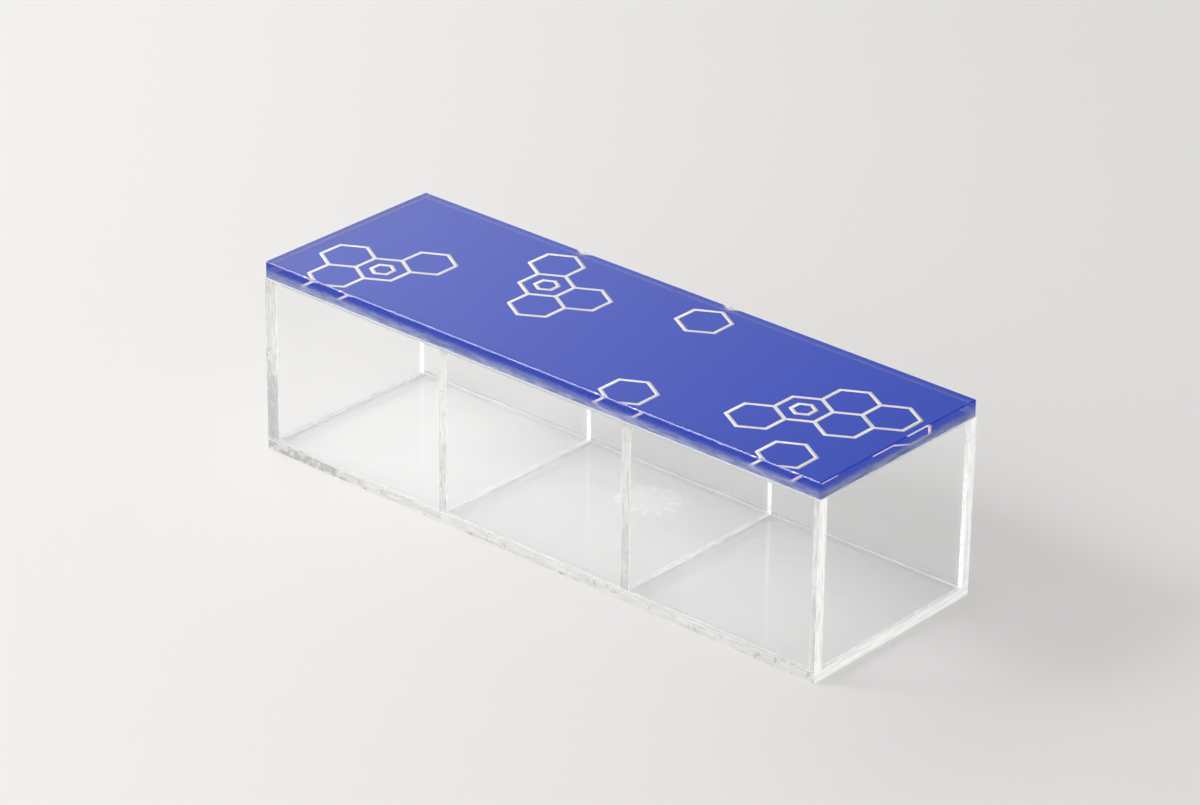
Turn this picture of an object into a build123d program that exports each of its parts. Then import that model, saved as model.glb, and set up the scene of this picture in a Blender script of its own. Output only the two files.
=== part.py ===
from build123d import *
from math import sqrt
import os

# A clear box with three compartments and a printed lift-off lid. Lengths are in millimetres.
# Frame: X along the length, Y from the front wall to the back wall, Z up. The origin is the centre
# of the underside of the base plate, on the surface that the box stands on.

# Driving dimensions of the box
box_length = 207.0  # outside, along X
box_width = 68.0  # outside, along Y
body_height = 55.5  # from the surface to the top of the walls
compartments = 3  # in one row along X
sheet = 3.0  # thickness of the clear sheet that the box is cut from
arris = 0.15  # broken edge round the underside of the base plate

# Driving dimensions of the lid
lid_thickness = 5.0
lid_inset = 0.2  # the lid plate stops this far inside the outside of the box
lid_arris = 0.3  # broken edge on the top and sides of the lid plate
rim_gap = 0.05  # play between the top of the walls and the printed underside of the lid
locating_thickness = 2.0  # clear plate under the lid that keeps it in place
locating_clearance = 0.5  # between that plate and the walls, on each side
locating_corner = 1.5  # radius of that plate's corners
divider_clearance = 0.3  # between that plate and the top of the dividers

# The print on the underside of the lid: pale outlines first, blue over them
blue_thickness = 0.15
line_thickness = 0.05
ink_gap = 0.01  # between a pale line and the blue behind it
line_width = 1.2
hexagon_pitch = 14.0  # across the flats, from line centre to line centre
inner_hexagon = 6.0  # across the flats of the small outline inside some hexagons

# The engraved mark in the underside of the base plate: a ring of short ticks
mark_x = 2.0  # from the middle of the base plate, along X
mark_ticks = 12
mark_inner_radius = 5.5
mark_outer_radius = 9.5
tick_width = 0.8
tick_depth = 0.25

# Heights and inside sizes that follow from the driving dimensions
floor_z = sheet
wall_height = body_height - sheet
inside_width = box_width - 2 * sheet
inside_length = box_length - 2 * sheet
locating_z = body_height + rim_gap - locating_thickness
divider_height = locating_z - divider_clearance - floor_z
blue_z = body_height + rim_gap
lid_z = blue_z + blue_thickness
lid_length = box_length - 2 * lid_inset
lid_width = box_width - 2 * lid_inset
mark_y = inside_width / 4  # halfway between the middle and the back wall

# Cells of a honeycomb grid (column, row) that carry a hexagon, in groups along the lid. A cell
# that a shorter or narrower lid has no room for stays empty.
plain_cells = [(-6, -1), (-5, -2), (-5, 0), (-4, 2), (-2, 1), (-2, 0), (0, 2), (3, -2)]
plain_cells += [(5, -1), (5, 1), (6, 0), (6, 1), (7, -2)]
nested_cells = [(-5, -1), (-3, 1), (5, 0)]


def block(length, width, height, x=0.0, y=0.0, z=0.0):
    """A block centred on x and y, standing on z."""
    foot = Align.CENTER, Align.CENTER, Align.MIN
    return Pos(x, y, z) * Box(length, width, height, align=foot)


def make_base_plate():
    plate = block(box_length, box_width, sheet)
    plate = chamfer(plate.edges().group_by(Axis.Z)[0], arris)
    tick_length = mark_outer_radius - mark_inner_radius
    tick_middle = (mark_outer_radius + mark_inner_radius) / 2
    tick = Pos(tick_middle, 0, 0) * Box(tick_length, tick_width, 2 * tick_depth)
    for k in range(mark_ticks):
        plate -= Pos(mark_x, mark_y, 0) * Rot(0, 0, 360 / mark_ticks * k) * tick
    return plate


def make_long_wall(side):
    """The front wall (side -1) or the back wall (side +1), over the whole length."""
    return block(box_length, sheet, wall_height, y=side * (box_width - sheet) / 2, z=floor_z)


def make_end_wall(side):
    """The left wall (side -1) or the right wall (side +1), between the long walls."""
    return block(sheet, inside_width, wall_height, x=side * (box_length - sheet) / 2, z=floor_z)


def make_divider(number):
    """A divider between the long walls; the outside length is shared out evenly."""
    x = box_length * (number / compartments - 1 / 2)
    return block(sheet, inside_width, divider_height, x=x, z=floor_z)


def make_lid_plate():
    plate = block(lid_length, lid_width, lid_thickness, z=lid_z)
    edges = plate.edges().filter_by(Axis.Z) + plate.edges().group_by(Axis.Z)[-1]
    return chamfer(edges, lid_arris)


def make_locating_plate():
    length = inside_length - 2 * locating_clearance
    width = inside_width - 2 * locating_clearance
    plate = block(length, width, locating_thickness, z=locating_z)
    return fillet(plate.edges().filter_by(Axis.Z), locating_corner)


def hexagon(across_flats):
    """A flat hexagon with a corner towards +Y."""
    return RegularPolygon(across_flats / sqrt(3), 6, rotation=30)


def hexagon_line(across_flats):
    """The line along the edges of a hexagon."""
    return hexagon(across_flats + line_width) - hexagon(across_flats - line_width)


def cell_centre(cell):
    column, row = cell
    return hexagon_pitch * (column + row / 2), hexagon_pitch * row * sqrt(3) / 2


def fits_on_lid(cell):
    x, y = cell_centre(cell)
    reach_x = (hexagon_pitch + line_width) / 2
    reach_y = (hexagon_pitch + line_width) / sqrt(3)
    return abs(x) + reach_x < lid_length / 2 and abs(y) + reach_y < lid_width / 2


def make_line_drawing():
    drawing = Sketch()
    for cell in filter(fits_on_lid, plain_cells + nested_cells):
        drawing += Pos(*cell_centre(cell)) * hexagon_line(hexagon_pitch)
    for cell in filter(fits_on_lid, nested_cells):
        drawing += Pos(*cell_centre(cell)) * hexagon_line(inner_hexagon)
    return drawing


def make_line_print(drawing):
    return extrude(Pos(0, 0, lid_z - line_thickness) * drawing, line_thickness)


def make_blue_print(drawing):
    depth = line_thickness + ink_gap
    layer = block(lid_length, lid_width, blue_thickness, z=blue_z)
    return layer - extrude(Pos(0, 0, lid_z - depth) * drawing, depth)


def make_nodes():
    drawing = make_line_drawing()
    nodes = {
        "base_plate": make_base_plate(),
        "front_wall": make_long_wall(-1),
        "back_wall": make_long_wall(1),
        "left_end_wall": make_end_wall(-1),
        "right_end_wall": make_end_wall(1),
    }
    for number in range(1, compartments):
        nodes[f"divider_{number}"] = make_divider(number)
    nodes["lid_plate"] = make_lid_plate()
    nodes["lid_locating_plate"] = make_locating_plate()
    nodes["lid_blue_print"] = make_blue_print(drawing)
    nodes["lid_line_print"] = make_line_print(drawing)
    return nodes


os.makedirs("parts", exist_ok=True)
for name, shape in make_nodes().items():
    export_step(shape, f"parts/{name}.step")
    print(name, len(shape.solids()), round(shape.volume, 1))
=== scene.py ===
from math import cos, radians, sin, sqrt, tau

import bpy
from mathutils import Matrix, Vector


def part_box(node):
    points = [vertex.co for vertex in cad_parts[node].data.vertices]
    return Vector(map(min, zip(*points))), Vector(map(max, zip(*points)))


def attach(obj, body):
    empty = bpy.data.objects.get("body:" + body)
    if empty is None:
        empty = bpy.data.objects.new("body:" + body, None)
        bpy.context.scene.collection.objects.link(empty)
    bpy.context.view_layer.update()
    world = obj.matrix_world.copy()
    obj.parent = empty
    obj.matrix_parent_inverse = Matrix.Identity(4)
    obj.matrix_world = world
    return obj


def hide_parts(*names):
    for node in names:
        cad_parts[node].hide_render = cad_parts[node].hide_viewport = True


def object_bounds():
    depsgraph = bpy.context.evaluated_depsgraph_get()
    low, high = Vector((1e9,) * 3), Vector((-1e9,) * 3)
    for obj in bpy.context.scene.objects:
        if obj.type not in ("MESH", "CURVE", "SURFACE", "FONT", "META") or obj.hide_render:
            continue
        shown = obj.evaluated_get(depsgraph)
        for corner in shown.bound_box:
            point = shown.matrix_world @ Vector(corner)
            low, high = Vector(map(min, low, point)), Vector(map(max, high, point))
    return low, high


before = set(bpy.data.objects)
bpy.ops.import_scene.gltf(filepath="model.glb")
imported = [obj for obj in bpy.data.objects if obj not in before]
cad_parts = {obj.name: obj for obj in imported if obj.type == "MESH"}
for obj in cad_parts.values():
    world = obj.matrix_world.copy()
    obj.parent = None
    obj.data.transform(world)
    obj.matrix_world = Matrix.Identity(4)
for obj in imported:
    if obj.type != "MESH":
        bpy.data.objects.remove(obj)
cad_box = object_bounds()


# ---------------------------------------------------------------------------------------------
# The camera of the photograph: a long lens, right of the front and a little above the box.
# Its place and turn come from the corners of the box in the photograph.
camera_place = Vector((0.773427, -0.890081, 0.620203))
camera_right = Vector((0.749800, 0.661579, 0.010639))
camera_up = Vector((-0.300331, 0.325964, 0.896409))
camera_back = Vector((0.589578, -0.675322, 0.443101))

lens = bpy.data.cameras.new("camera")
lens.sensor_width = 36.0
lens.lens = 139.294
lens.clip_start = 0.05
camera = bpy.data.objects.new("camera", lens)
turn = Matrix((camera_right, camera_up, camera_back)).transposed().to_4x4()
camera.matrix_world = Matrix.Translation(camera_place) @ turn
bpy.context.scene.collection.objects.link(camera)
bpy.context.scene.camera = camera
bpy.context.scene.view_settings.view_transform = "Standard"


# ---------------------------------------------------------------------------------------------
# The table top that the box stands on: matt pale card without a seam. Its colour carries a
# painted light falloff, lighter on its left and darker to the right. It isn't part of the object.
def set_inputs(tree, node, inputs):
    """Links or sets the inputs of a node, given in order or by name, as sockets or as values."""
    for key, value in inputs.items() if isinstance(inputs, dict) else enumerate(inputs):
        if isinstance(value, bpy.types.NodeSocket):
            tree.links.new(value, node.inputs[key])
        else:
            node.inputs[key].default_value = value


def put(tree, kind, inputs=(), **settings):
    """Adds a node to a tree, with its settings and its inputs."""
    made = tree.nodes.new(kind)
    for name, value in settings.items():
        setattr(made, name, value)
    set_inputs(tree, made, inputs)
    return made


def sums(tree, operation, *inputs):
    """The result of one Math node."""
    return put(tree, "ShaderNodeMath", inputs, operation=operation).outputs[0]


def vectors(tree, operation, *inputs):
    """The result of one Vector Math node."""
    made = put(tree, "ShaderNodeVectorMath", inputs, operation=operation)
    return made.outputs["Value" if operation == "DOT_PRODUCT" else "Vector"]


def ramp(tree, value, low, high, start=0.0, end=1.0):
    """A smooth step of a value, from start at low to end at high."""
    inputs = [value, low, high, start, end]
    made = put(tree, "ShaderNodeMapRange", inputs, interpolation_type="SMOOTHSTEP")
    return made.outputs[0]


def noise(tree, place, scale, detail=2.0, roughness=0.5):
    """Soft noise about 0.5, with so many lumps a metre."""
    inputs = {"Vector": place, "Scale": scale, "Detail": detail, "Roughness": roughness}
    return put(tree, "ShaderNodeTexNoise", inputs).outputs[0]


def mix_colour(tree, factor, first, second):
    """A colour between two, each given as red, green and blue or as a socket."""
    first, second = [(*part, 1) if isinstance(part, tuple) else part for part in (first, second)]
    made = put(tree, "ShaderNodeMix", {0: factor, 6: first, 7: second}, data_type="RGBA")
    return made.outputs[2]


def new_material(name):
    """A material, its tree, its surface shader and the place of each point of it."""
    made = bpy.data.materials.new(name)
    made.use_nodes = True
    tree = made.node_tree
    place = put(tree, "ShaderNodeTexCoord").outputs["Object"]
    return made, tree, tree.nodes["Principled BSDF"], place


def dress(piece, material):
    piece.data.materials.clear()
    piece.data.materials.append(material)


def mesh_piece(name, corners, faces):
    mesh = bpy.data.meshes.new(name)
    mesh.from_pydata(corners, [], faces)
    piece = bpy.data.objects.new(name, mesh)
    bpy.context.scene.collection.objects.link(piece)
    return piece


table_reach = 6.0
card_painted_bright, card_painted_dim = (0.86, 0.845, 0.835), (0.75, 0.74, 0.735)
light_until, dark_from = -0.18, 0.24  # across the picture, in metres
cloudiness = 0.03
table = mesh_piece(
    "table_top",
    [(-table_reach, -table_reach, 0), (table_reach, -table_reach, 0),
     (table_reach, table_reach, 0), (-table_reach, table_reach, 0)],
    [(0, 1, 2, 3)],
)
card, tree, surface, place = new_material("pale card")
# Painted light falloff: the card is coloured brighter on the left of the picture, dimmer to the right.
across = vectors(tree, "DOT_PRODUCT", place, camera_right)
shade = sums(tree, "ADD", across, sums(tree, "MULTIPLY", noise(tree, place, 5.0), cloudiness))
shade = ramp(tree, shade, light_until, dark_from)
set_inputs(tree, surface, {
    "Base Color": mix_colour(tree, shade, card_painted_bright, card_painted_dim),
    "Roughness": 0.6, "Specular IOR Level": 0.2,
})
dress(table, card)


# ---------------------------------------------------------------------------------------------
# Studio light: the room is pale low down, more so on the right, bright in front on the left and
# dim above. One soft lamp there gives the shadow behind the box on the right.
def mix_value(tree, factor, first, second):
    made = put(tree, "ShaderNodeMix", {0: factor, 2: first, 3: second}, data_type="FLOAT")
    return made.outputs[0]


def parts_of(tree, vector):
    """The X, Y and Z of a vector."""
    return put(tree, "ShaderNodeSeparateXYZ", [vector]).outputs


def way_to(turn, height):
    """The direction to a turn about the upright axis and a height above the table."""
    return Vector((cos(height) * cos(turn), cos(height) * sin(turn), sin(height)))


def by_height(tree, height, lowest, highest, start, end):
    """A value that goes from start to end between two heights above the table, in degrees."""
    return ramp(tree, height, sin(radians(lowest)), sin(radians(highest)), start, end)


lamp_turn, lamp_height, lamp_distance = radians(219), radians(37), 2.0
lamp_width, lamp_power = 0.62, 10.0
ceiling, low_walls, bright_side, right_wall = 0.26, 1.15, 1.7, 0.9
background = 0.8
room = bpy.data.worlds.new("room")
room.use_nodes = True
bpy.context.scene.world = room
tree = room.node_tree
direction = put(tree, "ShaderNodeTexCoord").outputs["Generated"]
to_right, to_back, height = parts_of(tree, direction)
to_lamp = vectors(tree, "DOT_PRODUCT", direction, way_to(lamp_turn, 0))
low_glow = by_height(tree, height, 10, 30, low_walls, 0.0)
side_glow = by_height(tree, height, 35, 60, bright_side, 0.0)
side_glow = sums(tree, "MULTIPLY", side_glow, ramp(tree, to_lamp, -0.12, 0.3))
right_glow = by_height(tree, height, 12, 32, right_wall, 0.0)
right_glow = sums(tree, "MULTIPLY", right_glow, ramp(tree, to_right, 0.2, 0.7))
walls = sums(tree, "ADD", low_glow, right_glow)
glow = sums(tree, "ADD", walls, sums(tree, "ADD", side_glow, ceiling))

# As a mirror in the sheets the room is held down, or they would look white from some sides. The
# lamp doesn't show in them at all, but a small glint stands in for it on the edges of the lid.
brightest_behind, brightest_in_front, brightest_low_down = 1.35, 0.9, 0.8
glint_turn, glint_height, glint_strength = radians(216.8), radians(42.4), 9.0
glint_inner, glint_outer = cos(radians(5.5)), cos(radians(8.5))
brightest = ramp(tree, to_back, -0.3, 0.3, brightest_in_front, brightest_behind)
brightest = by_height(tree, height, 8, 25, brightest_low_down, brightest)
to_glint = vectors(tree, "DOT_PRODUCT", direction, way_to(glint_turn, glint_height))
glint = ramp(tree, to_glint, glint_outer, glint_inner, 0.0, glint_strength)
held = sums(tree, "ADD", sums(tree, "MINIMUM", glow, brightest), glint)
path = put(tree, "ShaderNodeLightPath").outputs
mirrored = sums(tree, "MAXIMUM", path["Is Glossy Ray"], path["Is Transmission Ray"])
seen = mix_value(tree, path["Is Camera Ray"], mix_value(tree, mirrored, glow, held), background)
set_inputs(tree, tree.nodes["Background"], {"Color": (1.0, 0.995, 0.99, 1), "Strength": seen})

lamp_data = bpy.data.lights.new("lamp", "AREA")
lamp_data.shape = "DISK"
lamp_data.size = lamp_width
lamp_data.energy = lamp_power
lamp = bpy.data.objects.new("lamp", lamp_data)
lamp_place = lamp_distance * way_to(lamp_turn, lamp_height)
aim = lamp_place.to_track_quat("Z", "Y").to_matrix().to_4x4()
lamp.matrix_world = Matrix.Translation(lamp_place) @ aim
lamp.visible_glossy = False
lamp.visible_transmission = False
bpy.context.scene.collection.objects.link(lamp)

cycles = bpy.context.scene.cycles
cycles.max_bounces = 96
cycles.transmission_bounces = 96
cycles.glossy_bounces = 96
cycles.diffuse_bounces = 4
cycles.transparent_max_bounces = 48
cycles.sample_clamp_indirect = 4.0


# ---------------------------------------------------------------------------------------------
# base_plate: clear cast acrylic, 3 mm, under the whole box. Its broad faces are polished and its
# sides sawn. A faint ring of ticks is engraved in its underside, under the middle compartment.
mm = 0.001
box_sheets = [
    "base_plate", "front_wall", "back_wall", "left_end_wall", "right_end_wall",
    "divider_1", "divider_2",
]


def start_group(name, inputs, outputs):
    """A shader group with its sockets; gives the tree, its input sockets and its output node."""
    group = bpy.data.node_groups.new(name, "ShaderNodeTree")
    for socket, kind in inputs.items():
        group.interface.new_socket(socket, in_out="INPUT", socket_type="NodeSocket" + kind)
    for socket in outputs:
        group.interface.new_socket(socket, in_out="OUTPUT", socket_type="NodeSocketFloat")
    return group, put(group, "NodeGroupInput").outputs, put(group, "NodeGroupOutput")


def use_group(tree, group, inputs):
    return put(tree, "ShaderNodeGroup", inputs, node_tree=group).outputs


def largest_of(tree, vector):
    x, y, z = parts_of(tree, vector)
    return sums(tree, "MAXIMUM", sums(tree, "MAXIMUM", x, y), z)


# Where a flat joint lies: 1 inside a flat box round it, 0 elsewhere
joint_reach = 0.015 * mm
joint_area, given, result = start_group(
    "joint area", {"Place": "Vector", "Centre": "Vector", "Half size": "Vector"}, ["Mask"]
)
from_centre = vectors(joint_area, "SUBTRACT", given["Place"], given["Centre"])
offset = vectors(joint_area, "ABSOLUTE", from_centre)
beyond = largest_of(joint_area, vectors(joint_area, "SUBTRACT", offset, given["Half size"]))
in_joint = sums(joint_area, "LESS_THAN", beyond, joint_reach)
set_inputs(joint_area, result, {"Mask": in_joint})

# The sawn sides of a sheet: where they are, and how rough. They are dull below a height.
edge_reach, dull_fade = 0.16 * mm, 1.2 * mm
polished_share = 0.12  # of the roughness is left above the dull part
sawn_sides, given, result = start_group(
    "sawn sides",
    {"Place": "Vector", "Centre": "Vector", "Half size": "Vector", "Thin axis": "Vector",
     "Roughness": "Float", "Dull below": "Float"},
    ["Mask", "Roughness"],
)
from_centre = vectors(sawn_sides, "SUBTRACT", given["Place"], given["Centre"])
offset = vectors(sawn_sides, "ABSOLUTE", from_centre)
inset = vectors(sawn_sides, "SUBTRACT", offset, given["Half size"])
inset = vectors(sawn_sides, "SUBTRACT", inset, given["Thin axis"])
side_mask = sums(sawn_sides, "GREATER_THAN", largest_of(sawn_sides, inset), -edge_reach)
patches = noise(sawn_sides, given["Place"], 210.0, 4.0, 0.65)
worn = ramp(sawn_sides, patches, 0.35, 0.68, 0.9, 1.1)
up = sums(sawn_sides, "SUBTRACT", parts_of(sawn_sides, given["Place"])["Z"], given["Dull below"])
dull = ramp(sawn_sides, up, -dull_fade, dull_fade, 1.0, polished_share)
rough = sums(sawn_sides, "MULTIPLY", sums(sawn_sides, "MULTIPLY", given["Roughness"], worn), dull)
rough = sums(sawn_sides, "MULTIPLY", rough, side_mask)
set_inputs(sawn_sides, result, {"Mask": side_mask, "Roughness": rough})

# Polished faces: a trace of smears from handling
handling, given, result = start_group(
    "handling marks", {"Place": "Vector", "Wear": "Float"}, ["Roughness"]
)
smears = ramp(handling, noise(handling, given["Place"], 34.0, 3.0), 0.45, 0.75)
set_inputs(handling, result, {"Roughness": sums(handling, "MULTIPLY", smears, given["Wear"])})


def joints_of(node, others):
    """The flat areas in which a sheet touches others: centre and half size of each."""
    touching, narrowest = 0.01 * mm, 1.0 * mm
    low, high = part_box(node)
    found = []
    for other in others:
        if other == node:
            continue
        other_low, other_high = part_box(other)
        start = Vector([max(a, b) for a, b in zip(low, other_low)])
        end = Vector([min(a, b) for a, b in zip(high, other_high)])
        size = end - start
        if min(size) > -touching and sorted(size)[1] > narrowest:
            found.append(((start + end) / 2, size / 2))
    return found


sheet_tint, sawn_tint = (0.985, 0.99, 0.99), (0.96, 0.965, 0.96)
above_all = 1.0  # a height over everything, in metres
smear_roughness = 0.05
shadow_share = 0.02  # of the light of lamps that a sheet keeps back


def soft_light(tree):
    """1 for a ray that carries light from a lamp or from all round, 0 for one that is seen."""
    path = put(tree, "ShaderNodeLightPath").outputs
    return sums(tree, "MAXIMUM", path["Is Shadow Ray"], path["Is Diffuse Ray"])


def clear_acrylic(node, others, sawn=0.3, dull_below=above_all, tint=sawn_tint, frosted=()):
    """Clear cast acrylic for one sheet. The faces of its cemented joints vanish, as they do where
    cement has melted two sheets into one, and so do those of a frosted place, which has a piece
    of its own. Lamps shine through the sheet without a black shadow."""
    material, tree, surface, place = new_material("clear acrylic " + node.replace("_", " "))
    low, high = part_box(node)
    centre, half = (low + high) / 2, (high - low) / 2
    sides = use_group(tree, sawn_sides, {
        "Place": place, "Centre": centre, "Half size": half,
        "Thin axis": [float(part == min(half)) for part in half],
        "Roughness": sawn, "Dull below": dull_below,
    })
    marks = use_group(tree, handling, {"Place": place, "Wear": smear_roughness})
    alpha = mix_value(tree, soft_light(tree), 1.0, shadow_share)
    for joint_centre, joint_half in joints_of(node, others) + list(frosted):
        inputs = {"Place": place, "Centre": joint_centre, "Half size": joint_half}
        away = sums(tree, "SUBTRACT", 1.0, use_group(tree, joint_area, inputs)["Mask"])
        alpha = sums(tree, "MULTIPLY", alpha, away)
    set_inputs(tree, surface, {
        "Base Color": mix_colour(tree, sides["Mask"], sheet_tint, tint),
        "Roughness": sums(tree, "ADD", sides["Roughness"], marks["Roughness"]),
        "Alpha": alpha, "Transmission Weight": 1.0, "IOR": 1.49,
    })
    return material


mark_middle = Vector((2.0, 15.5, 0.16)) * mm
mark_place = (mark_middle, Vector((10.0, 10.0, 0.1)) * mm)
dress(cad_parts["base_plate"], clear_acrylic("base_plate", box_sheets, frosted=[mark_place]))


# ---------------------------------------------------------------------------------------------
# front_wall and back_wall: clear 3 mm sheets over the whole length, cemented on the base.
for node in ("front_wall", "back_wall"):
    dress(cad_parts[node], clear_acrylic(node, box_sheets))


# ---------------------------------------------------------------------------------------------
# left_end_wall and right_end_wall: the same sheet, cemented between the long walls.
for node in ("left_end_wall", "right_end_wall"):
    dress(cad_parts[node], clear_acrylic(node, box_sheets))


# ---------------------------------------------------------------------------------------------
# divider_1 and divider_2: the same sheet between the long walls, a little lower than they are.
for node in ("divider_1", "divider_2"):
    dress(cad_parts[node], clear_acrylic(node, box_sheets))


# ---------------------------------------------------------------------------------------------
# The cut edges of the box that stay in the open: sawn acrylic is milky, and lines run along it
# where the saw went. The right ends are the whitest: their white is partly painted glow, for light
# carried along the sheets. The left ends are the same sawn acrylic painted darker, a painted shade
# where the brightest light falls. The rims have been flame polished, and the long sides of the
# base were trimmed after cementing. Each is a thin skin on the sheets' sides.
def start_tree(name, inputs):
    """A geometry tree with its sockets; gives the tree, its input sockets and its output."""
    tree = bpy.data.node_groups.new(name, "GeometryNodeTree")
    for socket, kind in inputs.items():
        tree.interface.new_socket(socket, in_out="INPUT", socket_type="NodeSocket" + kind)
    tree.interface.new_socket("Geometry", in_out="OUTPUT", socket_type="NodeSocketGeometry")
    return tree, put(tree, "NodeGroupInput").outputs, put(tree, "NodeGroupOutput")


def end_tree(tree, geometry, material, result):
    """Makes a tree's geometry real, gives it its material and puts it out."""
    made = put(tree, "GeometryNodeRealizeInstances", [geometry]).outputs[0]
    inputs = {"Geometry": made, "Material": material}
    made = put(tree, "GeometryNodeSetMaterial", inputs).outputs[0]
    set_inputs(tree, result, [made])


def grow(name, tree, values, corners=()):
    """The plain mesh object that a geometry tree makes with these values, or out of corners."""
    seed_mesh = bpy.data.meshes.new(name)
    seed_mesh.from_pydata(corners, [], [])
    maker = bpy.data.objects.new(name + "_maker", seed_mesh)
    bpy.context.scene.collection.objects.link(maker)
    modifier = maker.modifiers.new("grow", "NODES")
    modifier.node_group = tree
    for socket in tree.interface.items_tree:
        if socket.in_out == "INPUT" and socket.name in values:
            modifier[socket.identifier] = values[socket.name]
    bpy.context.view_layer.update()
    ready = maker.evaluated_get(bpy.context.evaluated_depsgraph_get())
    mesh = bpy.data.meshes.new_from_object(ready)
    bpy.data.objects.remove(maker)
    piece = bpy.data.objects.new(name, mesh)
    bpy.context.scene.collection.objects.link(piece)
    return piece


def doubled(tree, faces, thickness):
    """A closed layer between these faces and a copy of them, so far along their normals."""
    inputs = {"Mesh": faces, "Offset Scale": thickness, "Individual": False}
    outer = put(tree, "GeometryNodeExtrudeMesh", inputs).outputs[0]
    inner = put(tree, "GeometryNodeFlipFaces", {"Mesh": faces}).outputs[0]
    both = put(tree, "GeometryNodeJoinGeometry")
    tree.links.new(outer, both.inputs[0])
    tree.links.new(inner, both.inputs[0])
    return both.outputs[0]


def merged(tree, geometry, distance):
    inputs = {"Geometry": geometry, "Distance": distance}
    return put(tree, "GeometryNodeMergeByDistance", inputs).outputs[0]


# Tree: a thin skin on the faces of one sheet that look the wanted way
skin_tree, given, result = start_tree("skin on sawn faces", {
    "Sheet": "Object", "Wanted": "Vector", "Above": "Float", "Lift": "Float",
    "Thickness": "Float", "Material": "Material",
})
sheet = put(skin_tree, "GeometryNodeObjectInfo", {"Object": given["Sheet"]}).outputs["Geometry"]
sheet = merged(skin_tree, sheet, 0.002 * mm)
normal = put(skin_tree, "GeometryNodeInputNormal").outputs[0]
agrees = vectors(skin_tree, "DOT_PRODUCT", normal, given["Wanted"])
middle = parts_of(skin_tree, put(skin_tree, "GeometryNodeInputPosition").outputs[0])["Z"]
chosen = sums(
    skin_tree, "MULTIPLY", sums(skin_tree, "GREATER_THAN", agrees, 0.5),
    sums(skin_tree, "GREATER_THAN", middle, given["Above"]),
)
inputs = {"Geometry": sheet, "Selection": chosen}
faces = put(skin_tree, "GeometryNodeSeparateGeometry", inputs, domain="FACE").outputs[0]
inputs = {0: normal, "Scale": given["Lift"]}
lift = put(skin_tree, "ShaderNodeVectorMath", inputs, operation="SCALE").outputs[0]
inputs = {"Geometry": faces, "Offset": lift}
faces = put(skin_tree, "GeometryNodeSetPosition", inputs).outputs[0]
skin = merged(skin_tree, doubled(skin_tree, faces, given["Thickness"]), 0.001 * mm)
end_tree(skin_tree, skin, given["Material"], result)


def join_pieces(name, parts):
    """One piece of several."""
    corners, faces = [], []
    for part in parts:
        start = len(corners)
        corners += [tuple(v.co) for v in part.data.vertices]
        faces += [[start + k for k in face.vertices] for face in part.data.polygons]
        bpy.data.objects.remove(part)
    return mesh_piece(name, corners, faces)


# A pale scattering layer of sawn acrylic or cement: its cover and its shade, both mottled
grainy, given, result = start_group(
    "grainy layer",
    {"Place": "Vector", "Stretch": "Vector", "Low cover": "Float", "High cover": "Float"},
    ["Cover", "Shade", "Grain"],
)
stretched = vectors(grainy, "MULTIPLY", given["Place"], given["Stretch"])
fine = noise(grainy, stretched, 1100.0, 3.0, 0.6)
broad = noise(grainy, stretched, 110.0, 3.0)
mottle = ramp(grainy, sums(grainy, "MULTIPLY_ADD", fine, 0.5, broad), 0.6, 0.9)
inputs = [mottle, 0.0, 1.0, given["Low cover"], given["High cover"]]
set_inputs(grainy, result, {
    "Cover": put(grainy, "ShaderNodeMapRange", inputs).outputs[0],
    "Shade": ramp(grainy, fine, 0.35, 0.65), "Grain": fine,
})

let_through = 0.65  # share of soft light that a milky layer lets through
grain_depth = 0.02 * mm
gap_grey = (0.2, 0.2, 0.2)
# Gaps are many in the lower left corner, under a slanting line, and near the foot of a joint
corner_slant, corner_full, corner_end, more_in_corner = 0.94, -76 * mm, -67 * mm, 0.2
foot_full, foot_end = 6 * mm, 24 * mm


def milky(name, shades, covers, stretch=(1, 1, 1), fade=None, gaps=None):
    """A material of that layer. Between the heights of fade it goes out, as on a side that is
    polished above. Gaps are grey spots without cement: how strongly they show, and how many
    more there are at the foot."""
    material, tree, surface, place = new_material(name)
    layer = use_group(tree, grainy, {
        "Place": place, "Stretch": stretch, "Low cover": covers[0], "High cover": covers[1],
    })
    at = parts_of(tree, place)
    cover, colour = layer["Cover"], mix_colour(tree, layer["Shade"], *shades)
    if fade:
        up = sums(tree, "MULTIPLY_ADD", layer["Grain"], 1.0 * mm, at["Z"])
        cover = sums(tree, "MULTIPLY", cover, ramp(tree, up, *fade, 1.0, 0.0))
    if gaps:
        strength, more_at_foot = gaps
        from_corner = sums(tree, "MULTIPLY_ADD", at["Z"], corner_slant, at["X"])
        corner = ramp(tree, from_corner, corner_full, corner_end, more_in_corner, 0.0)
        foot = ramp(tree, at["Z"], foot_full, foot_end, more_at_foot, 0.0)
        spots = sums(tree, "ADD", noise(tree, place, 520.0), sums(tree, "ADD", corner, foot))
        colour = mix_colour(tree, ramp(tree, spots, 0.58, 0.72, 0.0, strength), colour, gap_grey)
    kept_back = sums(tree, "MULTIPLY_ADD", soft_light(tree), -let_through, 1.0)
    inputs = {"Strength": 0.35, "Distance": grain_depth, "Height": layer["Grain"]}
    set_inputs(tree, surface, {
        "Base Color": colour, "Alpha": sums(tree, "MULTIPLY", cover, kept_back),
        "Normal": put(tree, "ShaderNodeBump", inputs).outputs[0], "Roughness": 0.6,
    })
    return material


skin_lift, skin_thickness = 0.01 * mm, 0.02 * mm


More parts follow.
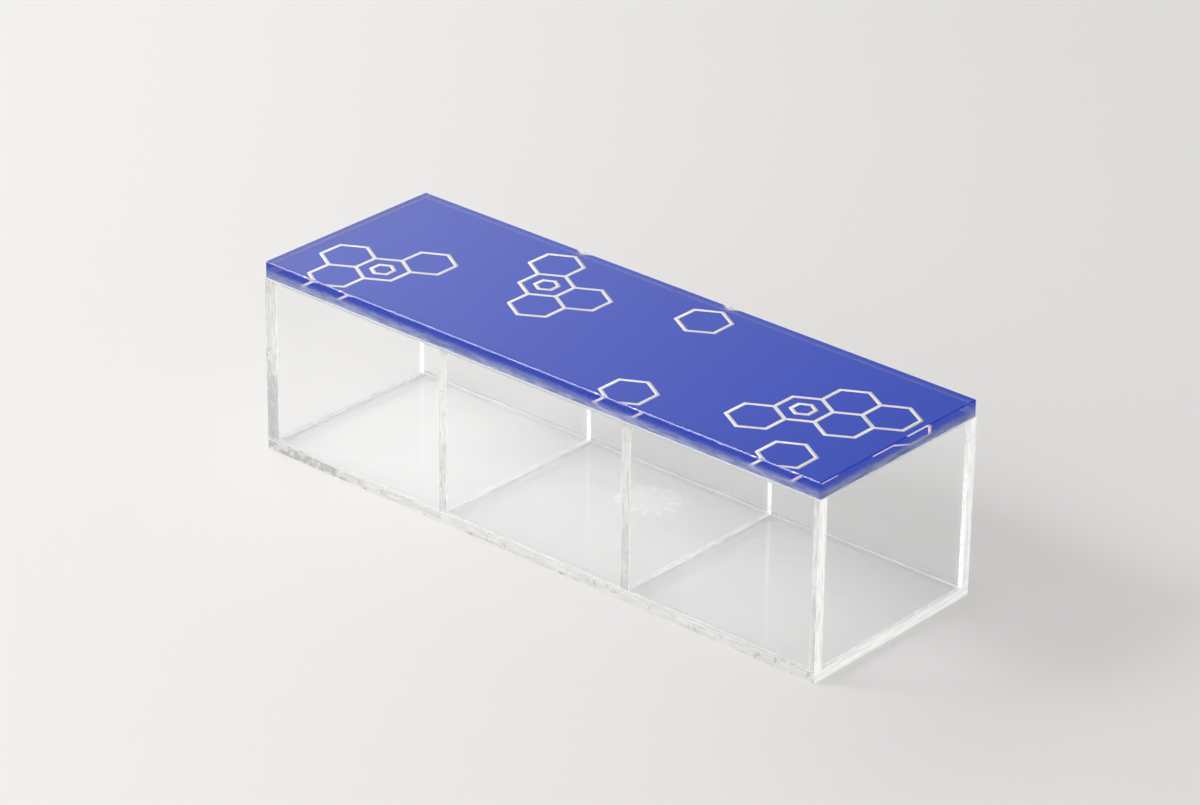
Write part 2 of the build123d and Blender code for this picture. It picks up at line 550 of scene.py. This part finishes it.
def skin_piece(name, faces, material, body="box", above=-1.0):
    """Skins on the faces of some sheets that look a given way, as one piece."""
    parts = []
    for node, wanted in faces:
        parts.append(grow(name, skin_tree, {
            "Sheet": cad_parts[node], "Wanted": wanted, "Above": above,
            "Lift": skin_lift, "Thickness": skin_thickness, "Material": material,
        }))
    piece = join_pieces(name, parts)
    dress(piece, material)
    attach(piece, body)


left, right, front, back = (-1, 0, 0), (1, 0, 0), (0, -1, 0), (0, 1, 0)
down, upwards = (0, 0, -1), (0, 0, 1)
lengthwise, crossways, upright = (0.12, 1, 1), (1, 0.12, 1), (1, 1, 0.12)
over_arris = 0.3 * mm

# The right ends' white is partly painted glow, for light carried along the sheets.
sawn_and_glow_shades, sawn_covers = ((0.88, 0.89, 0.88), (0.97, 0.97, 0.96)), (0.75, 0.95)
base_end = milky("sawn end of the base", sawn_and_glow_shades, sawn_covers, crossways)
skin_piece("sawn_end_of_base", [("base_plate", right)], base_end, above=over_arris)

wall_ends = milky("sawn ends of the walls", sawn_and_glow_shades, sawn_covers, upright)
skin_piece("sawn_right_ends", [("front_wall", right), ("back_wall", right)], wall_ends)

# The left ends are a darker copy of the same sawn acrylic: painted shade where the brightest light
# falls.
left_painted_shade = ((0.60, 0.61, 0.60), (0.70, 0.70, 0.69))
left_ends_painted_darker = milky("sawn left ends painted darker", left_painted_shade, (0.5, 0.75), upright)
on_left = [(node, left) for node in ("base_plate", "front_wall", "back_wall")]
skin_piece("sawn_left_ends", on_left, left_ends_painted_darker, above=over_arris)

rim_shades = ((0.8, 0.8, 0.8), (0.9, 0.9, 0.89))
rims = milky("flame polished rims", rim_shades, (0.42, 0.5), (0.15, 0.15, 1))
skin_piece("rims", [(node, upwards) for node in box_sheets[1:]], rims)

trimmed_shades = ((0.50, 0.50, 0.485), (0.58, 0.575, 0.56))
trimmed = milky("trimmed acrylic", trimmed_shades, (0.6, 0.75), lengthwise, gaps=(0.6, 0.0))
long_sides = [("base_plate", front), ("base_plate", back)]
skin_piece("trimmed_sides", long_sides, trimmed, above=over_arris)


# ---------------------------------------------------------------------------------------------
# Cement films: solvent cement run into each joint, where the sawn side of one sheet stands on
# the face of another, dries to a mottled film. It is grey and gappy behind the front wall,
# white at the back and under the dividers, and thin or clear under the long walls; under the
# back wall and the left end wall the thin film also carries a painted lavender shadow.
across_box = ("left_end_wall", "right_end_wall", "divider_1", "divider_2")

front_shades = ((0.43, 0.43, 0.42), (0.53, 0.53, 0.515))
front_cement = milky(
    "cement at the front", front_shades, (0.42, 0.64), upright, gaps=(0.3, 0.05)
)
skin_piece("front_joint_films", [(node, front) for node in across_box], front_cement)

white_cement = milky("white cement", ((0.82, 0.82, 0.82), (0.93, 0.93, 0.92)), (0.7, 0.95))
white_joints = [(node, back) for node in across_box] + [(node, down) for node in across_box[1:]]
skin_piece("white_joint_films", white_joints, white_cement)

# Under the back wall and the left end wall the film is lavender grey: partly thin cement, partly a
# painted bluish shadow along the foot.
thin_cement_shadow_shades = ((0.70, 0.70, 0.73), (0.82, 0.82, 0.85))
thin_cement_with_shadow = milky("thin cement with painted shadow", thin_cement_shadow_shades, (0.5, 0.8), lengthwise)
skin_piece("thin_joint_films", [("left_end_wall", down), ("back_wall", down)], thin_cement_with_shadow)

clear_shades = ((0.78, 0.78, 0.78), (0.9, 0.9, 0.9))
clear_cement = milky("clear cement", clear_shades, (0.08, 0.3), lengthwise)
skin_piece("front_foot_film", [("front_wall", down)], clear_cement)


# ---------------------------------------------------------------------------------------------
# Cement beads: cement squeezed out along the joints inside the box, thick and thin by turns.
# They are largest on the floor; the one behind the front wall is fine and even.
bead_tree, given, result = start_tree("cement bead", {
    "Start": "Vector", "End": "Vector", "Radius": "Float", "Unevenness": "Float",
    "Seed": "Float", "Material": "Material",
})
inputs = {"Start": given["Start"], "End": given["End"]}
line = put(bead_tree, "GeometryNodeCurvePrimitiveLine", inputs).outputs[0]
inputs = {"Curve": line, "Count": 90}
line = put(bead_tree, "GeometryNodeResampleCurve", inputs).outputs[0]
place = put(bead_tree, "GeometryNodeInputPosition").outputs[0]
inputs = {"Vector": place, "W": given["Seed"], "Scale": 260.0, "Detail": 2.0}
lumps = put(bead_tree, "ShaderNodeTexNoise", inputs, noise_dimensions="4D").outputs[0]
thinnest = sums(bead_tree, "SUBTRACT", 1.0, given["Unevenness"])
lumps = put(bead_tree, "ShaderNodeMapRange", [lumps, 0.35, 0.65, thinnest, 1.0]).outputs[0]
inputs = {"Curve": line, "Radius": sums(bead_tree, "MULTIPLY", lumps, given["Radius"])}
line = put(bead_tree, "GeometryNodeSetCurveRadius", inputs).outputs[0]
inputs = {"Resolution": 6, "Radius": 1.0}
profile = put(bead_tree, "GeometryNodeCurvePrimitiveCircle", inputs).outputs[0]
radius = put(bead_tree, "GeometryNodeInputRadius").outputs[0]
inputs = {"Curve": line, "Profile Curve": profile, "Scale": radius, "Fill Caps": True}
bead = put(bead_tree, "GeometryNodeCurveToMesh", inputs).outputs[0]
end_tree(bead_tree, bead, given["Material"], result)

floor_bead, upright_bead, front_bead = 0.16 * mm, 0.08 * mm, 0.05 * mm
lumpy, even = 0.55, 0.05


def bead_lines():
    """Each bead inside the box: its start, end, radius and unevenness, from the sheets' boxes."""
    found = []
    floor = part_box("base_plate")[1].z
    for node in across_box:
        low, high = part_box(node)
        for x in (low.x, high.x):
            if abs(x) < 0.98 * cad_box[1][0]:  # not the outside of an end wall
                front_foot, back_foot = (x, low.y, floor), (x, high.y, floor)
                found.append((front_foot, back_foot, floor_bead, lumpy))
                found.append((front_foot, (x, low.y, high.z), upright_bead, lumpy))
                found.append((back_foot, (x, high.y, high.z), upright_bead, lumpy))
    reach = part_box("right_end_wall")[0].x
    for y, radius, unevenness in (
        (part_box("front_wall")[1].y, front_bead, even), (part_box("back_wall")[0].y, floor_bead, lumpy)
    ):
        found.append(((-reach, y, floor), (reach, y, floor), radius, unevenness))
    return found


bead_shades = ((0.84, 0.84, 0.84), (0.95, 0.95, 0.94))
bead_white = milky("cement bead", bead_shades, (0.5, 0.9))
beads = []
for seed, (start, end, radius, unevenness) in enumerate(bead_lines()):
    beads.append(grow("bead", bead_tree, {
        "Start": start, "End": end, "Radius": radius, "Unevenness": unevenness,
        "Seed": float(seed), "Material": bead_white,
    }))
beads = join_pieces("cement_beads", beads)
dress(beads, bead_white)
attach(beads, "box")


# ---------------------------------------------------------------------------------------------
# Bubbles in the cement: a few small flat ones, where the joints under the end walls and the
# dividers, and two of those at the front, weren't filled quite full.
bubble_tree, given, result = start_tree("bubbles in a joint", {
    "Sheet": "Object", "Wanted": "Vector", "Spacing": "Float", "Density": "Float",
    "Smallest": "Float", "Largest": "Float", "Seed": "Int", "Material": "Material",
})
inputs = {"Object": given["Sheet"]}
sheet = put(bubble_tree, "GeometryNodeObjectInfo", inputs).outputs["Geometry"]
normal = put(bubble_tree, "GeometryNodeInputNormal").outputs[0]
agrees = vectors(bubble_tree, "DOT_PRODUCT", normal, given["Wanted"])
inputs = {
    "Mesh": sheet, "Selection": sums(bubble_tree, "GREATER_THAN", agrees, 0.5),
    "Distance Min": given["Spacing"], "Density Max": given["Density"], "Seed": given["Seed"],
}
spots = put(
    bubble_tree, "GeometryNodeDistributePointsOnFaces", inputs, distribute_method="POISSON"
).outputs[0]
inputs = {2: given["Smallest"], 3: given["Largest"], "Seed": given["Seed"]}
size = put(bubble_tree, "FunctionNodeRandomValue", inputs, data_type="FLOAT").outputs[1]
inputs = {"Radius": 1.0, "Subdivisions": 2}
ball = put(bubble_tree, "GeometryNodeMeshIcoSphere", inputs).outputs[0]
inputs = [size, size, sums(bubble_tree, "MULTIPLY", size, 0.6)]
flattened = put(bubble_tree, "ShaderNodeCombineXYZ", inputs).outputs[0]
inputs = {"Points": spots, "Instance": ball, "Scale": flattened}
bubbles = put(bubble_tree, "GeometryNodeInstanceOnPoints", inputs).outputs[0]
end_tree(bubble_tree, bubbles, given["Material"], result)

bubble_density = 90000.0  # at most so many in a square metre
bubbly_joints = [(node, down) for node in ("left_end_wall", "divider_1", "divider_2")]
bubbly_joints += [("right_end_wall", down), ("left_end_wall", front), ("divider_2", front)]
bubbles = []
for seed, (node, wanted) in enumerate(bubbly_joints, start=3):
    bubbles.append(grow("bubbles", bubble_tree, {
        "Sheet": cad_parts[node], "Wanted": wanted, "Spacing": 0.8 * mm,
        "Density": bubble_density, "Smallest": 0.03 * mm, "Largest": 0.12 * mm, "Seed": seed,
        "Material": bead_white,
    }))
bubbles = join_pieces("cement_bubbles", bubbles)
dress(bubbles, bead_white)
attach(bubbles, "box")


# ---------------------------------------------------------------------------------------------
# Painted shadow by the joints: a soft bluish grey band of painted shadow, 3 mm wide, on the floor
# to the right of the left end wall and of each divider, and a fainter one along the back wall.
def cuboid(low, high):
    """The corners and faces of a block between two opposite corners."""
    around = ((low[0], low[1]), (high[0], low[1]), (high[0], high[1]), (low[0], high[1]))
    corners = [(x, y, z) for z in (low[2], high[2]) for x, y in around]
    return corners, [
        (3, 2, 1, 0), (4, 5, 6, 7), (0, 1, 5, 4), (1, 2, 6, 5), (2, 3, 7, 6), (3, 0, 4, 7),
    ]


shadow_band_width, shadow_band_core = 3.2 * mm, 0.3 * mm
faintest_shadow, deepest_shadow, back_wall_shadow = 0.09, 0.16, 0.45
shadow_band_shades = ((0.36, 0.37, 0.42), (0.44, 0.45, 0.50))
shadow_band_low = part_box("base_plate")[1].z + skin_lift
shadow_band_high = shadow_band_low + skin_thickness
shadow_band_starts = [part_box(node)[1].x for node in ("left_end_wall", "divider_1", "divider_2")]
shadow_band_ends = [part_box(node)[0].x for node in ("divider_1", "divider_2", "right_end_wall")]
front_y, back_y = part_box("front_wall")[1].y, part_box("back_wall")[0].y
shadow_bands = [(x, front_y, x + shadow_band_width, back_y) for x in shadow_band_starts]
for start, end in zip(shadow_band_starts, shadow_band_ends):
    shadow_bands.append((start + shadow_band_width, back_y - shadow_band_width, end, back_y))
painted_shadow_piece = join_pieces("solvent_haze", [
    mesh_piece("band", *cuboid((x0, y0, shadow_band_low), (x1, y1, shadow_band_high)))
    for x0, y0, x1, y1 in shadow_bands
])
painted_shadow_look, tree, surface, place = new_material("painted shadow by the joints")
at = parts_of(tree, place)
# Painted shadow: deepest at each joint and fading over the band's width; fainter along the back wall.
cover = ramp(tree, at["Y"], back_y - shadow_band_width, back_y, 0.0, back_wall_shadow)
for start in shadow_band_starts:
    distance = sums(tree, "ABSOLUTE", sums(tree, "SUBTRACT", at["X"], start))
    cover = sums(tree, "MAXIMUM", cover, ramp(tree, distance, shadow_band_core, shadow_band_width, 1.0, 0.0))
shadow_mottle = ramp(tree, noise(tree, place, 160.0, 3.0), 0.3, 0.7, faintest_shadow, deepest_shadow)
set_inputs(tree, surface, {
    "Base Color": mix_colour(tree, shadow_mottle, *shadow_band_shades),
    "Alpha": sums(tree, "MULTIPLY", cover, shadow_mottle),
    "Roughness": 0.7, "Specular IOR Level": 0.1,
})
dress(painted_shadow_piece, painted_shadow_look)
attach(painted_shadow_piece, "box")


# ---------------------------------------------------------------------------------------------
# The engraved mark: a ring of short ticks cut into the underside of the base by laser, which
# leaves them frosted white. Each frosted tick lies in its cut.
tick_tree, given, result = start_tree("ring of ticks", {
    "Ticks": "Int", "Middle": "Vector", "Radius": "Float", "Tick size": "Vector",
    "Material": "Material",
})
inputs = {"Vertices": given["Ticks"], "Radius": given["Radius"]}
ring = put(tick_tree, "GeometryNodeMeshCircle", inputs).outputs[0]
number = put(tick_tree, "GeometryNodeInputIndex").outputs[0]
turned = sums(tick_tree, "MULTIPLY", sums(tick_tree, "DIVIDE", tau, given["Ticks"]), number)
turned = put(tick_tree, "ShaderNodeCombineXYZ", [0.0, 0.0, turned]).outputs[0]
tick = put(tick_tree, "GeometryNodeMeshCube", {"Size": given["Tick size"]}).outputs[0]
inputs = {"Points": ring, "Instance": tick, "Rotation": turned}
ticks = put(tick_tree, "GeometryNodeInstanceOnPoints", inputs).outputs[0]
ticks = put(tick_tree, "GeometryNodeRealizeInstances", [ticks]).outputs[0]
inputs = {"Geometry": ticks, "Offset": given["Middle"]}
ticks = put(tick_tree, "GeometryNodeSetPosition", inputs).outputs[0]
end_tree(tick_tree, ticks, given["Material"], result)

engraved_shades = ((0.94, 0.94, 0.93), (0.98, 0.98, 0.97))
engraved = milky("engraved acrylic", engraved_shades, (0.85, 1.0))
ticks = grow("engraved_ticks", tick_tree, {
    "Ticks": 12, "Middle": (mark_middle.x, mark_middle.y, 0.13 * mm), "Radius": 7.5 * mm,
    "Tick size": (3.96 * mm, 0.76 * mm, 0.22 * mm), "Material": engraved,
})
dress(ticks, engraved)
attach(ticks, "box")


# ---------------------------------------------------------------------------------------------
# lid_plate: clear cast acrylic, 5 mm, that lies on the walls; the print is on its underside. Its
# sides are polished above and still sawn low down, where a thin dull bluish skin lies on them.
lid_parts = ["lid_plate", "lid_locating_plate", "lid_blue_print"]
lid_roughness = 0.4
lid_dull_below = 57.9 * mm
lid_tint = (0.80, 0.63, 0.80)
lid_acrylic = clear_acrylic("lid_plate", lid_parts, lid_roughness, lid_dull_below, lid_tint)
dress(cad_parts["lid_plate"], lid_acrylic)

sawn_lid_shades = ((0.13, 0.16, 0.31), (0.25, 0.29, 0.43))
sawn_lid_fade = (56.0 * mm, 59.8 * mm)
sawn_lid = milky(
    "sawn lower side of the lid", sawn_lid_shades, (0.6, 0.88), (0.2, 0.2, 1), sawn_lid_fade
)
lid_sides = [("lid_plate", way) for way in (left, right, front, back)]
skin_piece("sawn_sides_of_lid", lid_sides, sawn_lid, "lid")


# ---------------------------------------------------------------------------------------------
# lid_locating_plate: clear 2 mm sheet under the print, a little smaller than the inside of the
# box, so that the lid can't slide off.
locating_acrylic = clear_acrylic("lid_locating_plate", lid_parts, lid_roughness)
dress(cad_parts["lid_locating_plate"], locating_acrylic)


# ---------------------------------------------------------------------------------------------
# lid_blue_print: blue ink on the underside of the lid plate, printed in passes across it, with a
# white backing under it. The layer bites into the plate a little, so that it is in contact.
ink_bite = 0.015 * mm
ink_inset = 0.05 * mm
backing_white = (0.78, 0.79, 0.82)
blue_shades = ((0.006, 0.043, 0.47), (0.006, 0.047, 0.50))
low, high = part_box("lid_blue_print")
low = low - Vector((0, 0, ink_bite))
high = high + Vector((0, 0, ink_bite))
x, y = high.x - ink_inset, high.y - ink_inset
blue_layer = mesh_piece("blue_ink", *cuboid((-x, -y, low.z), (x, y, high.z)))
blue, tree, surface, place = new_material("blue ink")
upper_half = sums(tree, "GREATER_THAN", parts_of(tree, place)["Z"], (low.z + high.z) / 2)
passes = noise(tree, vectors(tree, "MULTIPLY", place, (1, 0.02, 1)), 420.0)
ink = mix_colour(tree, ramp(tree, passes, 0.3, 0.7), *blue_shades)
set_inputs(tree, surface, {
    "Base Color": mix_colour(tree, upper_half, backing_white, ink),
    "Roughness": 0.5, "Specular IOR Level": 0.0,
})
dress(blue_layer, blue)
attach(blue_layer, "lid")
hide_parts("lid_blue_print")


# ---------------------------------------------------------------------------------------------
# lid_line_print: pale ink, printed on the underside of the lid plate before the blue. Outlines of
# hexagons on a honeycomb grid; some have a small one inside.

# Tree: from points at (column, row, 0 for a whole cell or 1 for a small hexagon inside one)
line_tree, given, result = start_tree("hexagon outlines", {
    "Cells": "Geometry", "Pitch": "Float", "Inner": "Float", "Line width": "Float",
    "Low": "Float", "Thickness": "Float", "Material": "Material",
})


def stored(geometry, name, kind, value):
    """A named attribute that keeps a value on each point."""
    inputs = {"Geometry": geometry, "Name": name, "Value": value}
    return put(line_tree, "GeometryNodeStoreNamedAttribute", inputs, data_type=kind).outputs[0]


def read(name, kind):
    inputs = {"Name": name}
    return put(line_tree, "GeometryNodeInputNamedAttribute", inputs, data_type=kind).outputs[0]


column, row, nested = parts_of(line_tree, put(line_tree, "GeometryNodeInputPosition").outputs[0])
along = sums(line_tree, "MULTIPLY_ADD", row, 0.5, column)
across = sums(line_tree, "MULTIPLY", row, sqrt(3) / 2)
inputs = [
    sums(line_tree, "MULTIPLY", given["Pitch"], along),
    sums(line_tree, "MULTIPLY", given["Pitch"], across),
    given["Low"],
]
middle = put(line_tree, "ShaderNodeCombineXYZ", inputs).outputs[0]
flats = mix_value(line_tree, nested, given["Pitch"], given["Inner"])
inside = sums(line_tree, "SUBTRACT", flats, given["Line width"])
inside = sums(line_tree, "DIVIDE", inside, sqrt(3))  # from across flats to a corner's distance
points = put(line_tree, "GeometryNodeMeshToPoints", {"Mesh": given["Cells"]}).outputs[0]
points = stored(points, "inside", "FLOAT", inside)
points = stored(points, "middle", "FLOAT_VECTOR", middle)
kept_middle = read("middle", "FLOAT_VECTOR")
inputs = {"Geometry": points, "Position": kept_middle}
points = put(line_tree, "GeometryNodeSetPosition", inputs).outputs[0]
unit = put(line_tree, "GeometryNodeMeshCircle", {"Vertices": 6, "Radius": 1.0}).outputs[0]
inputs = {"Geometry": unit, "Rotation": (0.0, 0.0, radians(30))}
unit = put(line_tree, "GeometryNodeTransform", inputs).outputs[0]
inputs = {"Points": points, "Instance": unit, "Scale": read("inside", "FLOAT")}
rings = put(line_tree, "GeometryNodeInstanceOnPoints", inputs).outputs[0]
rings = put(line_tree, "GeometryNodeRealizeInstances", [rings]).outputs[0]
place = put(line_tree, "GeometryNodeInputPosition").outputs[0]
outwards = vectors(line_tree, "SUBTRACT", place, kept_middle)
outwards = vectors(line_tree, "NORMALIZE", outwards)
# An edge moves by the mean of its ends' ways out, so 4/3 of the width gives the width
reach = sums(line_tree, "MULTIPLY", given["Line width"], 4 / 3)
inputs = {"Mesh": rings, "Offset": outwards, "Offset Scale": reach}
band = put(line_tree, "GeometryNodeExtrudeMesh", inputs, mode="EDGES").outputs[0]
normal = put(line_tree, "GeometryNodeInputNormal").outputs[0]
looks_down = sums(line_tree, "LESS_THAN", parts_of(line_tree, normal)["Z"], 0.0)
inputs = {"Mesh": band, "Selection": looks_down}
band = put(line_tree, "GeometryNodeFlipFaces", inputs).outputs[0]
solid = merged(line_tree, doubled(line_tree, band, given["Thickness"]), 0.002 * mm)
union = put(line_tree, "GeometryNodeMeshBoolean", operation="UNION", solver="EXACT")
set_inputs(line_tree, union, {"Mesh 2": solid, "Self Intersection": True})
end_tree(line_tree, union.outputs[0], given["Material"], result)

plain_cells = [(-6, -1), (-5, -2), (-5, 0), (-4, 2), (-2, 1), (-2, 0), (0, 2), (3, -2)]
plain_cells += [(5, -1), (5, 1), (6, 0), (6, 1), (7, -2)]
nested_cells = [(-5, -1), (-3, 1), (5, 0)]
cells = [(*cell, 0) for cell in plain_cells + nested_cells]
cells += [(*cell, 1) for cell in nested_cells]
pale, tree, surface, place = new_material("pale ink")
specks = ramp(tree, noise(tree, place, 1600.0), 0.3, 0.7)
set_inputs(tree, surface, {
    "Base Color": mix_colour(tree, specks, (0.76, 0.73, 0.71), (0.83, 0.80, 0.78)),
    "Roughness": 0.5, "Specular IOR Level": 0.0,
})
low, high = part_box("lid_line_print")
line_layer = grow("pale_lines", line_tree, {
    "Pitch": 14.0 * mm, "Inner": 6.0 * mm, "Line width": 1.2 * mm,
    "Low": low.z + 2 * ink_bite, "Thickness": high.z - low.z, "Material": pale,
}, cells)
dress(line_layer, pale)
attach(line_layer, "lid")
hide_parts("lid_line_print")
